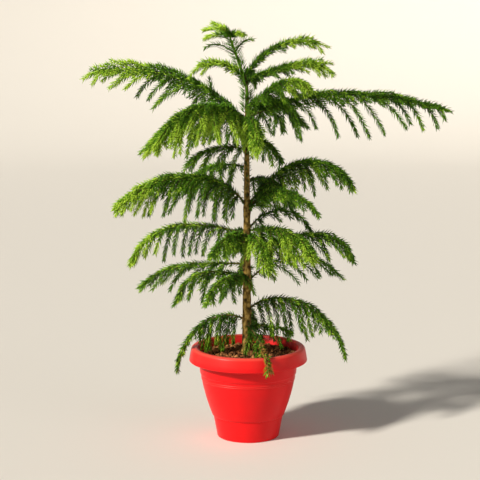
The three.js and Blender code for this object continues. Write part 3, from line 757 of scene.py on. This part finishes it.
bough_names = [name for name, frond in FRONDS.items() if "bare" in frond]
bough_skin = woody_bark("bough_skin", BOUGH_DARK, BOUGH_BROWN, BOUGH_PALE, BOUGH_GREENS)
bough_parts = [limb_tube(FRONDS[name], 0, FRONDS[name]["bare"]) for name in bough_names]
bough_points, bough_faces = joined(bough_parts)
boughs = joined_mesh("boughs", bough_points * MM, bough_faces, bough_skin)
finish_piece(boughs, "bough", *[f"bough_{name}" for name in bough_names])

# The fronds' stems run on from the boughs and carry branchlets on both sides, thin green-brown twigs: long
# ones that hang, shorter ones that spread over them, and some that lie along the stem. On the young tiers
# at the top all keep close to the stem, and the leader ends in a tuft of new shoots.
YOUNG_TIERS = ("tier6", "tier7")
YOUNG_TWIG = 46
FEWEST_TWIGS = 3
RANKS = [
    dict(side=1, start=0.30, spread=(40, 26), reach=1.0, spacing=34, kind="hanging"),
    dict(side=-1, start=0.80, spread=(40, 26), reach=1.0, spacing=34, kind="hanging"),
    dict(side=1, start=0.55, spread=(48, 34), reach=0.36, spacing=22, kind="spreading"),
    dict(side=-1, start=0.05, spread=(48, 34), reach=0.36, spacing=22, kind="spreading"),
    dict(side=1, start=0.80, spread=(20, 12), reach=0.45, spacing=34, kind="lying"),
    dict(side=-1, start=0.30, spread=(20, 12), reach=0.45, spacing=34, kind="lying"),
]
DROP = 0.75
SPREADING_DROP = 0.3
MANTLE = (-56, -46)
RUFF = (14, -30)
FIRST_TWIG = 0.6
LAST_TWIG = 0.96
TWIG_OUTLINE = (0.22, 0.72, 0.8)
YOUNG_OUTLINE = (0.4, 1.0)
YOUNG_LAST_TWIG = 0.82
SIMPLE_FROND = 80
TWIG_PLAY = (0.7, 1.12)
SHORTEST_TWIG = 14
HANG = (-72, -56)
HANG_BEND = 0.95
YOUNG_TILTS = dict(hanging=(-2, -46), spreading=(14, -22), lying=(38, 0))
SHOOT_TILT = (66, 88)
HEADING_PLAY = 13
TILT_PLAY = 12
SWAY_PLAY = 26
TWIG_STEPS = 10
TWIG_SIDES = 3
TWIG_RADII = (1.0, 0.4)
GROWTH_SEED = 41
STEM_OVERLAP = 0.01
TUFT = "foliage_leader_tuft"
TUFT_ROOT = 0.995
TUFT_SHOOTS = [
    dict(heading=172, length=60, rise=52, droop=-24),
    dict(heading=190, length=46, rise=66, droop=10),
    dict(heading=200, length=56, rise=22, droop=-30),
    dict(heading=238, length=44, rise=56, droop=-6),
    dict(heading=118, length=44, rise=54, droop=-6),
    dict(heading=318, length=36, rise=40, droop=-30),
    dict(heading=38, length=40, rise=40, droop=-30),
]
POT_OUTSIDE = [
    (0, 66), (46, 74.2), (95, 93), (136, 101), (139, 103), (163, 104.5), (164, 125.5), (194, 121),
]
POT_MOUTH = 103
TWIG_CLEARANCE = 1.0


def blocked(points, margin):
    """Which points lie in the pot, the soil or the trunk, or nearer to them than a margin in mm."""
    height = points[..., 2]
    radius = np.hypot(points[..., 0], points[..., 1])
    pot_heights, pot_radii = zip(*POT_OUTSIDE)
    in_mouth = (radius < POT_MOUTH - margin) & (height > SOIL_TOP + margin)
    in_wall = radius < np.interp(height, pot_heights, pot_radii) + margin
    in_pot = in_wall & (height < pot_heights[-1] + margin)
    gap = np.linalg.norm((points - trunk_centre(height))[..., :2], axis=-1)
    in_trunk = (gap < trunk_radius(height) + margin) & (height < TRUNK_TIP)
    return (in_pot & ~in_mouth) | in_trunk


def cleared(path):
    """A twig's path up to where it would run into the pot, the soil or the trunk, or None."""
    bad = np.flatnonzero(blocked(path, TWIG_CLEARANCE))
    if len(bad) == 0:
        return path
    stride = np.linalg.norm(path[1] - path[0])
    if (bad[0] - 1) * stride < SHORTEST_TWIG:
        return None
    return along_path(path, np.linspace(0, (bad[0] - 1) / (len(path) - 1), len(path)))[0]


def blend(ends, share):
    """The value at a share of the way between two ends."""
    return ends[0] + (ends[1] - ends[0]) * share


def branchlets(name, frond, draw):
    """The branchlets of one frond, each with its path, its place along the frond and its kind."""
    young = name.split("_")[0] in YOUNG_TIERS and "hang" not in frond
    if frond["length"] < SIMPLE_FROND:
        return []
    full_length = frond.get("twig", YOUNG_TWIG)
    first = frond.get("bare", 0) * FIRST_TWIG
    stem = frond_path(frond)
    grown = []
    for rank in RANKS:
        kind = rank["kind"]
        hanging = kind == "hanging"
        spacing = rank["spacing"] * (frond.get("openness", 1) if hanging else 1 / frond.get("fullness", 1))
        count = max(FEWEST_TWIGS if hanging else 0, round(frond["length"] * (1 - first) / spacing))
        for number in range(count):
            along = (number + rank["start"]) / count
            last = frond.get("last", LAST_TWIG) if hanging else LAST_TWIG
            last = YOUNG_LAST_TWIG if young else last
            origin, direction = along_path(stem, [blend((first, last), along)])
            tilt = math.degrees(math.asin(direction[0, 2]))
            outline = math.sin(math.pi * (TWIG_OUTLINE[0] + TWIG_OUTLINE[1] * along)) ** TWIG_OUTLINE[2]
            outline = blend(YOUNG_OUTLINE, along) if young else outline
            reach = frond.get("skirt", rank["reach"]) if kind == "spreading" else rank["reach"]
            length = full_length * reach * outline * draw.uniform(*TWIG_PLAY)
            length = max(length, SHORTEST_TWIG)
            spread = blend(frond.get("spread", rank["spread"]) if hanging else rank["spread"], along)
            heading = frond["heading"] + rank["side"] * spread + draw.uniform(-1, 1) * HEADING_PLAY
            if young:
                rise, droop = (tilt + turn for turn in YOUNG_TILTS[kind])
            elif hanging:
                droop = blend(frond.get("hang", HANG), along)
                rise = blend((tilt, droop), frond.get("drop", DROP))
            elif kind == "spreading":
                droop = blend(frond.get("mantle", MANTLE), along)
                rise = blend((tilt, droop), SPREADING_DROP)
            else:
                rise, droop = (tilt + blend(turns, along) for turns in zip(RUFF, frond.get("ruff", RUFF)))
            rise += draw.uniform(-1, 1) * TILT_PLAY
            droop += draw.uniform(-1, 1) * TILT_PLAY
            sway = draw.uniform(-1, 1) * SWAY_PLAY
            path = limb_path(origin[0], heading, rise, droop, HANG_BEND, length, TWIG_STEPS, sway)
            path = cleared(path)
            if path is not None:
                grown.append(dict(path=path, along=along, kind=kind))
    if "shoot" in frond:
        share, height = frond["shoot"]
        origin = along_path(stem, [share])[0][0]
        path = limb_path(origin, frond["heading"], *SHOOT_TILT, 1, height, TWIG_STEPS)
        grown.append(dict(path=path, along=share, kind="hanging"))
    return grown


def twig_tube(path):
    """The thin tube of one branchlet."""
    shares = np.linspace(0, 1, len(path))
    points, directions = along_path(path, shares)
    return tube(points, directions, blend(TWIG_RADII, shares)[:, None], TWIG_SIDES)


growth_draw = np.random.default_rng(GROWTH_SEED)
frond_twigs = {name: branchlets(name, frond, growth_draw) for name, frond in FRONDS.items()}
tuft_root = trunk_centre(np.array(TRUNK_TIP * TUFT_ROOT))
tuft_paths = [limb_path(tuft_root, **shoot, bend=1, steps=TWIG_STEPS) for shoot in TUFT_SHOOTS]
foliage_names = [f"foliage_{name}" for name in FRONDS] + [TUFT]
stem_parts = [limb_tube(frond, max(frond.get("bare", 0) - STEM_OVERLAP, 0), 1) for frond in FRONDS.values()]
stem_points, stem_faces = joined(stem_parts)
stems = joined_mesh("frond_stems", stem_points * MM, stem_faces, bough_skin)
finish_piece(stems, "foliage", *foliage_names)
twig_paths = [twig["path"] for twigs in frond_twigs.values() for twig in twigs] + tuft_paths
twig_points, twig_faces = joined([twig_tube(path) for path in twig_paths])
twigs_piece = joined_mesh("branchlet_twigs", twig_points * MM, twig_faces, bough_skin)
finish_piece(twigs_piece, "foliage", *foliage_names)

# The needles stand in four ranks along every stem and branchlet. Each is a soft curved awl, 12 to 15 mm
# long on most twigs, that leaves its twig slanting forward and bends in. Old needles are deep green, new
# growth is lime, and the lowest tips are scorched brown.
NEEDLE_LENGTH = 12.5
YOUNG_NEEDLE_LENGTH = 13.5
HANGING_NEEDLE_LENGTH = 15
BOUGH_NEEDLE_LENGTH = 9.375
NEEDLE_LENGTH_PLAY = (0.78, 1.1)
TIP_SHORTENING = 0.25
NEEDLE_WIDTH = 2.9
NEEDLE_THICKNESS = 1.6
NEEDLE_BEND_AT = 0.28
NEEDLE_RANKS = (0, 180, 90, 270)
NEEDLE_TURN_PLAY = 0.25
NEEDLE_SPREAD = (52, 34)
NEEDLE_SPREAD_PLAY = 8
NEEDLE_CURL = 0.75
NEEDLE_ROOT = 0.6
NEEDLE_PLACES = (0.2, 0.8)
NEEDLE_CLEARANCE = 0.3
FEWEST_NEEDLES = 6
TWIG_NEEDLE_SPACING = 1.5
HANGING_NEEDLE_SPACING = 1.1
STEM_NEEDLE_SPACING = 1.2
BOUGH_NEEDLE_SPACING = 1.6
TUFT_NEEDLE_SPACING = 0.5
LEADER_NEEDLES = dict(low=676, high=TRUNK_TIP, spacing=0.5, length=20, tint="leaf")
TRUNK_NEEDLES = dict(low=500, high=676, spacing=1.5, length=8.75, tint="deep")
TRUNK_NEEDLE_SPREAD = (66, 9)
TRUNK_NEEDLE_PLAY = (0.7, 1.05)
TRUNK_NEEDLE_ROOT = 0.85
NEEDLE_SEED = 53
NEEDLES_IN_PIECE = 32000
BOUGH_TINTS = ("deep", "leaf", 0.8)
TUFT_TINTS = ("leaf", "lime", 0.42)
TINT_STRAYS = (0.15, 0.70, 0.15)
TINT_EDGE_PLAY = 0.06
TIP_STARTS = (0.3, 0.7)
NEW_TIP_START = 0.8
DEEP_SHARE = 0.6
LIME_SHARE = 0.85
SCORCHED_SHARE = 0.7
FRESH_SHARES = dict(light=0.6, old=0.2)
NEW_FROM = 0.58
FRESH_FROM = 0.7
SCORCHED_FROM = 0.6
NEXT_LIGHTER = dict(deep="leaf", leaf="fresh")
NEEDLE_TINTS = {
    "deep": ((0.022, 0.075, 0.003, 1), (0.038, 0.110, 0.004, 1)),
    "leaf": ((0.062, 0.175, 0.004, 1), (0.092, 0.235, 0.006, 1)),
    "fresh": ((0.145, 0.310, 0.012, 1), (0.200, 0.390, 0.018, 1)),
    "lime": ((0.350, 0.560, 0.036, 1), (0.450, 0.660, 0.054, 1)),
    "scorched": ((0.300, 0.150, 0.028, 1), (0.420, 0.240, 0.050, 1)),
}
SPRAY_SCALE = 90
SPINDLE = [(1, 2, 4), (2, 3, 4), (3, 1, 4), (2, 1, 0), (3, 2, 0), (1, 3, 0)]


def shades(growth, along, kind, draw):
    """The tints of a branchlet's foot and tip, and where along it the tip's tint starts."""
    foot = "deep" if draw.random() < DEEP_SHARE else "leaf"
    start = draw.uniform(*TIP_STARTS)
    chance = draw.random()
    new_tip = "lime" if chance < LIME_SHARE else "fresh"
    if growth == "fringe" and kind != "lying":
        return NEXT_LIGHTER[foot], new_tip, start
    if growth == "young" or (growth == "outer" and along > NEW_FROM):
        return "fresh" if along > FRESH_FROM else "leaf", new_tip, start * NEW_TIP_START
    if growth == "scorched" and along > SCORCHED_FROM:
        return "leaf", "scorched" if chance < SCORCHED_SHARE else "fresh", start
    fresh_share = FRESH_SHARES.get(growth, FRESH_SHARES["old"])
    return foot, "fresh" if chance < fresh_share else "leaf", start


def needles(points, directions, root_radius, spacing_turns, lengths, spreads):
    """Five points for each needle: its root, a ring where it is widest and bends, and its tip."""
    level, over = side_vectors(directions)
    turn = spacing_turns[:, None]
    out = np.cos(turn) * level + np.sin(turn) * over
    across = np.cross(directions, out)
    spread = spreads[:, None]
    lean = np.cos(spread) * directions + np.sin(spread) * out
    bent = np.cos(spread * NEEDLE_CURL) * directions + np.sin(spread * NEEDLE_CURL) * out
    length = lengths[:, None]
    root = points + out * np.asarray(root_radius)[..., None]
    middle = root + lean * length * NEEDLE_BEND_AT
    tip = middle + bent * length * (1 - NEEDLE_BEND_AT)
    ridge = np.cross(across, lean)
    half = across * NEEDLE_WIDTH / 2
    low = -ridge * NEEDLE_THICKNESS / 3
    high = ridge * NEEDLE_THICKNESS * 2 / 3
    return np.stack([root, middle + half + low, middle + high, middle - half + low, tip], axis=1)


def clothe(sheaf, owner, path, radii, spacing, length, tints, draw, first=0.0):
    """Adds the needles of one shoot to the sheaf of each tint, away from pot, soil and trunk."""
    foot_tint, tip_tint, tip_start = tints
    path_length = np.linalg.norm(np.diff(path, axis=0), axis=1).sum()
    count = max(FEWEST_NEEDLES, int(path_length * (1 - first) / spacing))
    shares = first + (1 - first) * (np.arange(count) + draw.uniform(*NEEDLE_PLACES, count)) / count
    points, directions = along_path(path, shares)
    turns = np.radians(np.resize(NEEDLE_RANKS, count)) + draw.normal(0, NEEDLE_TURN_PLAY, count)
    lengths = length * draw.uniform(*NEEDLE_LENGTH_PLAY, count) * (1 - TIP_SHORTENING * shares ** 4)
    spreads = np.radians(blend(NEEDLE_SPREAD, shares ** 2) + draw.normal(0, NEEDLE_SPREAD_PLAY, count))
    made = needles(points, directions, blend(radii, shares) * NEEDLE_ROOT, turns, lengths, spreads)
    clear = ~blocked(made[:, 4], NEEDLE_CLEARANCE) & ~blocked(made[:, 2], 0.0)
    at_tip = shares + draw.normal(0, TINT_EDGE_PLAY, count) > tip_start
    order = list(NEEDLE_TINTS)
    tint_number = np.where(at_tip, order.index(tip_tint), order.index(foot_tint))
    strays = draw.choice((-1, 0, 1), count, p=TINT_STRAYS)
    mixed = tint_number < order.index("scorched")
    tint_number = np.where(mixed, np.clip(tint_number + strays, 0, order.index("lime")), tint_number)
    for number, tint in enumerate(order):
        sheaf[tint].append((made[clear & (tint_number == number)], owner))


def trunk_needles(sheaf, owner, draw, low, high, spacing, length, tint):
    """Needles on the trunk's own upper length, standing out and curving up."""
    count = int((high - low) / spacing)
    heights = np.sort(draw.uniform(low, high, count))
    points = trunk_centre(heights)
    ahead = trunk_centre(np.minimum(heights + 2, TRUNK_TIP)) - trunk_centre(heights - 2)
    directions = ahead / np.linalg.norm(ahead, axis=1, keepdims=True) + (1e-4, 0, 0)
    turns = np.radians(np.resize(NEEDLE_RANKS, count)) + draw.normal(0, NEEDLE_TURN_PLAY, count)
    lengths = length * draw.uniform(*TRUNK_NEEDLE_PLAY, count)
    spreads = np.radians(draw.normal(*TRUNK_NEEDLE_SPREAD, count))
    made = needles(points, directions, trunk_radius(heights) * TRUNK_NEEDLE_ROOT, turns, lengths, spreads)
    sheaf[tint].append((made, owner))


def soft_needle(name, dark, light):
    """Waxy green needle skin, a little lighter and darker along the spray."""
    material, tree, shader, place = new_material(name)
    spray = noise_field(tree, place, SPRAY_SCALE, detail=2)
    tree.links.new(ramp(tree, spray, [(0.35, dark), (0.65, light)]), shader.inputs["Base Color"])
    shader.inputs["Roughness"].default_value = 0.55
    shader.inputs["Specular IOR Level"].default_value = 0.2
    return material


needle_draw = np.random.default_rng(NEEDLE_SEED)
sheaf = {tint: [] for tint in NEEDLE_TINTS}
for name, frond in FRONDS.items():
    owner = f"foliage_{name}"
    growth = frond.get("growth", "old")
    stem = frond_path(frond)
    stem_tints = ("deep", *shades(growth, 1.0, "stem", needle_draw)[1:])
    bare = frond.get("bare", 0)
    stem_radii = (limb_radius(frond, bare), STEM_TIP_RADIUS)
    young = name.split("_")[0] in YOUNG_TIERS
    length = YOUNG_NEEDLE_LENGTH if young else NEEDLE_LENGTH
    clothe(sheaf, owner, stem, stem_radii, STEM_NEEDLE_SPACING, length, stem_tints, needle_draw, bare)
    if bare:
        bough_path = along_path(stem, np.linspace(0, bare, LIMB_STEPS))[0]
        bough_radii = (limb_radius(frond, 0), limb_radius(frond, bare))
        clothe(
            sheaf, owner, bough_path, bough_radii, BOUGH_NEEDLE_SPACING, BOUGH_NEEDLE_LENGTH, BOUGH_TINTS,
            needle_draw,
        )
    for twig in frond_twigs[name]:
        hanging = twig["kind"] == "hanging"
        tints = shades(growth, twig["along"], twig["kind"], needle_draw)
        spacing = HANGING_NEEDLE_SPACING if hanging else TWIG_NEEDLE_SPACING
        reach = HANGING_NEEDLE_LENGTH if hanging and not young else length
        clothe(sheaf, owner, twig["path"], TWIG_RADII, spacing, reach, tints, needle_draw)
for path in tuft_paths:
    clothe(
        sheaf, TUFT, path, TWIG_RADII, TUFT_NEEDLE_SPACING, YOUNG_NEEDLE_LENGTH, TUFT_TINTS, needle_draw,
    )
trunk_needles(sheaf, TUFT, needle_draw, **LEADER_NEEDLES)
trunk_needles(sheaf, TUFT, needle_draw, **TRUNK_NEEDLES)

for tint, colours in NEEDLE_TINTS.items():
    material = soft_needle(f"needle_{tint}", *colours)
    all_needles = np.concatenate([made for made, _ in sheaf[tint]])
    owners = np.concatenate([[owner] * len(made) for made, owner in sheaf[tint]])
    for number, start in enumerate(range(0, len(all_needles), NEEDLES_IN_PIECE), 1):
        batch = all_needles[start:start + NEEDLES_IN_PIECE]
        first_points = batch.shape[1] * np.arange(len(batch))
        faces = (np.array(SPINDLE)[None] + first_points[:, None, None]).reshape(-1, 3)
        piece = joined_mesh(f"needles_{tint}_{number}", batch.reshape(-1, 3) * MM, faces, material)
        finish_piece(piece, "foliage", *sorted(set(owners[start:start + NEEDLES_IN_PIECE])))

# The studio is a painted floor that curves up into its backdrop, with a strong light from the left and in
# front, a weak fill from the right and a camera a few steps away. The backdrop on the strong light's own
# side, which that light doesn't reach, glows faintly.
FLOOR_RADIUS = 5.5
FLOOR_SIDES = 96
COVE_RADIUS = 3.0
COVE_END = 56
COVE_STEPS = 10
FLOOR_COLOUR = (0.80, 0.77, 0.73, 1)
BACKDROP_GLOW = 0.46
GLOW_HEIGHT = 0.3
KEY_PLACE = (-2.7, -1.9, 2.5)
KEY_STRENGTH = 4.5
KEY_SOFTNESS = 6
KEY_COLOUR = (1.0, 0.94, 0.83)
FILL_PLACE = (2.8, -2.2, 1.6)
FILL_POWER = 12
FILL_SIZE = 2.0
LIGHT_AIM = Vector((0, 0, 0.45))
WORLD_COLOUR = (0.96, 0.93, 0.87, 1)
WORLD_STRENGTH = 0.20
CAMERA_PLACE = (-0.0174, -3.0, 0.894)
CAMERA_TILT = 8.95
CAMERA_LENS = 108.56


def aimed_light(name, kind, place):
    """A light that faces the plant from a place in the studio."""
    light = bpy.data.lights.new(name, kind)
    lamp = bpy.data.objects.new(name, light)
    lamp.location = place
    lamp.rotation_euler = (LIGHT_AIM - Vector(place)).to_track_quat("-Z", "Y").to_euler()
    lamp.visible_camera = False
    bpy.context.scene.collection.objects.link(lamp)
    return light


bpy.ops.object.select_all(action="DESELECT")
bpy.ops.mesh.primitive_circle_add(vertices=FLOOR_SIDES, radius=FLOOR_RADIUS, fill_type="NOTHING")
floor = bpy.context.object
floor.name = "studio_floor"
bpy.ops.object.mode_set(mode="EDIT")
bpy.ops.mesh.select_all(action="SELECT")
bpy.ops.mesh.edge_face_add()
bpy.ops.mesh.select_mode(type="EDGE")
cove_radius = FLOOR_RADIUS
cove_height = 0
for cove_angle in np.radians(np.linspace(0, COVE_END, COVE_STEPS + 1)[1:]):
    next_radius = FLOOR_RADIUS + COVE_RADIUS * math.sin(cove_angle)
    next_height = COVE_RADIUS * (1 - math.cos(cove_angle))
    bpy.ops.mesh.extrude_edges_move(TRANSFORM_OT_translate={"value": (0, 0, next_height - cove_height)})
    widen = next_radius / cove_radius
    bpy.ops.transform.resize(value=(widen, widen, 1), center_override=(0, 0, next_height))
    cove_radius, cove_height = next_radius, next_height
bpy.ops.object.mode_set(mode="OBJECT")
bpy.ops.object.shade_smooth()
floor_material, floor_tree, floor_shader, floor_place = new_material("studio_paint")
floor_shader.inputs["Base Color"].default_value = FLOOR_COLOUR
floor_shader.inputs["Roughness"].default_value = 0.8
key_side = floor_tree.nodes.new("ShaderNodeVectorMath")
key_side.operation = "DOT_PRODUCT"
key_side.inputs[1].default_value = Vector((*KEY_PLACE[:2], 0)).normalized() / FLOOR_RADIUS
floor_tree.links.new(floor_place, key_side.inputs[0])
floor_axes = floor_tree.nodes.new("ShaderNodeSeparateXYZ")
floor_tree.links.new(floor_place, floor_axes.inputs[0])
wall_glow = floor_tree.nodes.new("ShaderNodeMapRange")
wall_glow.inputs["From Max"].default_value = GLOW_HEIGHT
wall_glow.inputs["To Max"].default_value = BACKDROP_GLOW
floor_tree.links.new(floor_axes.outputs["Z"], wall_glow.inputs["Value"])
side_glow = floor_tree.nodes.new("ShaderNodeMath")
side_glow.operation = "MULTIPLY"
side_glow.use_clamp = True
floor_tree.links.new(key_side.outputs["Value"], side_glow.inputs[0])
floor_tree.links.new(wall_glow.outputs["Result"], side_glow.inputs[1])
floor_shader.inputs["Emission Color"].default_value = FLOOR_COLOUR
floor_tree.links.new(side_glow.outputs["Value"], floor_shader.inputs["Emission Strength"])
floor.data.materials.append(floor_material)

key_light = aimed_light("key_light", "SUN", KEY_PLACE)
key_light.energy = KEY_STRENGTH
key_light.angle = math.radians(KEY_SOFTNESS)
key_light.color = KEY_COLOUR
fill_light = aimed_light("fill_light", "AREA", FILL_PLACE)
fill_light.energy = FILL_POWER
fill_light.size = FILL_SIZE
world = bpy.data.worlds.new("studio_air")
world.use_nodes = True
world.node_tree.nodes["Background"].inputs["Color"].default_value = WORLD_COLOUR
world.node_tree.nodes["Background"].inputs["Strength"].default_value = WORLD_STRENGTH
bpy.context.scene.world = world
bpy.context.scene.view_settings.view_transform = "Standard"

camera = bpy.data.objects.new("camera", bpy.data.cameras.new("camera"))
camera.location = CAMERA_PLACE
camera.rotation_euler = (math.radians(90 - CAMERA_TILT), 0, 0)
camera.data.lens = CAMERA_LENS
bpy.context.scene.collection.objects.link(camera)
bpy.context.scene.camera = camera
